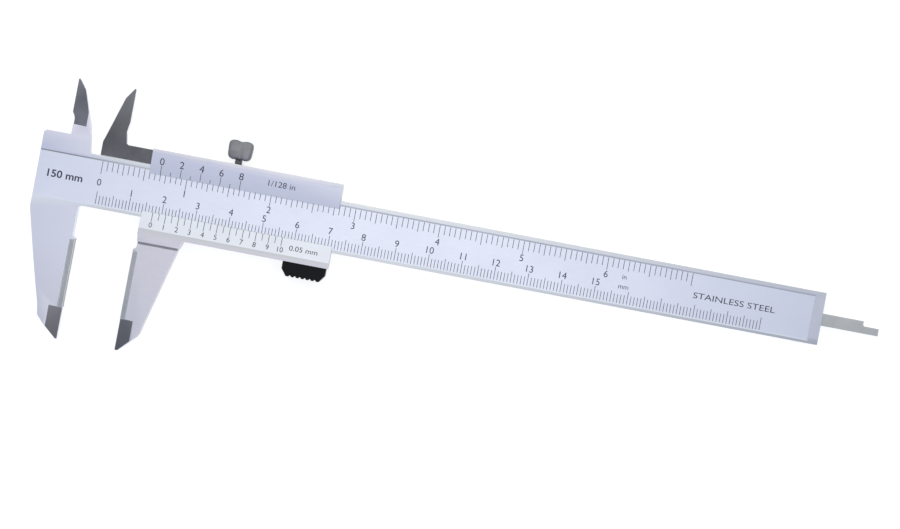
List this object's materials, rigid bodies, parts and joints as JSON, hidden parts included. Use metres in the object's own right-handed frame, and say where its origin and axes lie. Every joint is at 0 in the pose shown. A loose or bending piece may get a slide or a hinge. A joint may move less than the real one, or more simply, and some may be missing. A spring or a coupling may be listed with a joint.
{
  "type": "vernier caliper",
  "caption": "Sliding measuring tool with outside jaws, inside jaws, a depth rod, two graduated scales with verniers, a wing lock screw and a thumb grip.",
  "frame": {"origin": "middle of the base of the box around the caliper, lying on its back with the jaws open 17.4 mm", "axes": "+X along the beam towards the depth rod, +Y towards the inside jaws, +Z out of the graduated front face"},
  "size_m": [0.2538, 0.0774, 0.0063],
  "materials": {
    "beam_steel": "satin chrome",
    "slider_steel": "satin chrome",
    "rod_steel": "ground",
    "plate_steel": "ground",
    "screw_steel": "blackened",
    "rivet_steel": "ground flush",
    "gib_bronze": "rolled",
    "pad_brass": "turned",
    "head_zinc": "satin nickel over die casting",
    "grip_plastic": "moulded, satin"
  },
  "bodies": {
    "beam": {"main_beam": "beam_steel", "end_stop_plate": "plate_steel", "stop_screw_upper": "screw_steel", "stop_screw_lower": "screw_steel"},
    "sliding_jaw": {"slider": "slider_steel", "depth_rod": "rod_steel", "rod_rivet_left": "rivet_steel", "rod_rivet_right": "rivet_steel", "gib_strip": "gib_bronze", "gib_screw_left": "screw_steel", "gib_screw_right": "screw_steel", "thumb_grip": "grip_plastic", "grip_pin_left": "rivet_steel", "grip_pin_right": "rivet_steel"},
    "pressure_pad": {"lock_pad": "pad_brass"},
    "lock_screw": {"lock_screw_stud": "screw_steel", "lock_screw_head": "head_zinc"}
  },
  "joints": [
    {"name": "slider_travel", "type": "slide", "parent": "beam", "child": "sliding_jaw", "axis": [1, 0, 0], "range_m": [-0.0174, 0.1376]},
    {"name": "lock_pad_lift", "type": "slide", "parent": "sliding_jaw", "child": "pressure_pad", "axis": [0, 1, 0], "range_m": [0, 0.000675]},
    {"name": "lock_screw_turn", "type": "hinge", "parent": "pressure_pad", "child": "lock_screw", "pos_m": [-0.06885, 0.0255, 0.0031], "axis": [0, 1, 0], "range_deg": [0, 540]}
  ],
  "couplings": [
    {"joint": "lock_screw_turn", "follows": "lock_pad_lift", "rad_per_m": 13962}
  ]
}
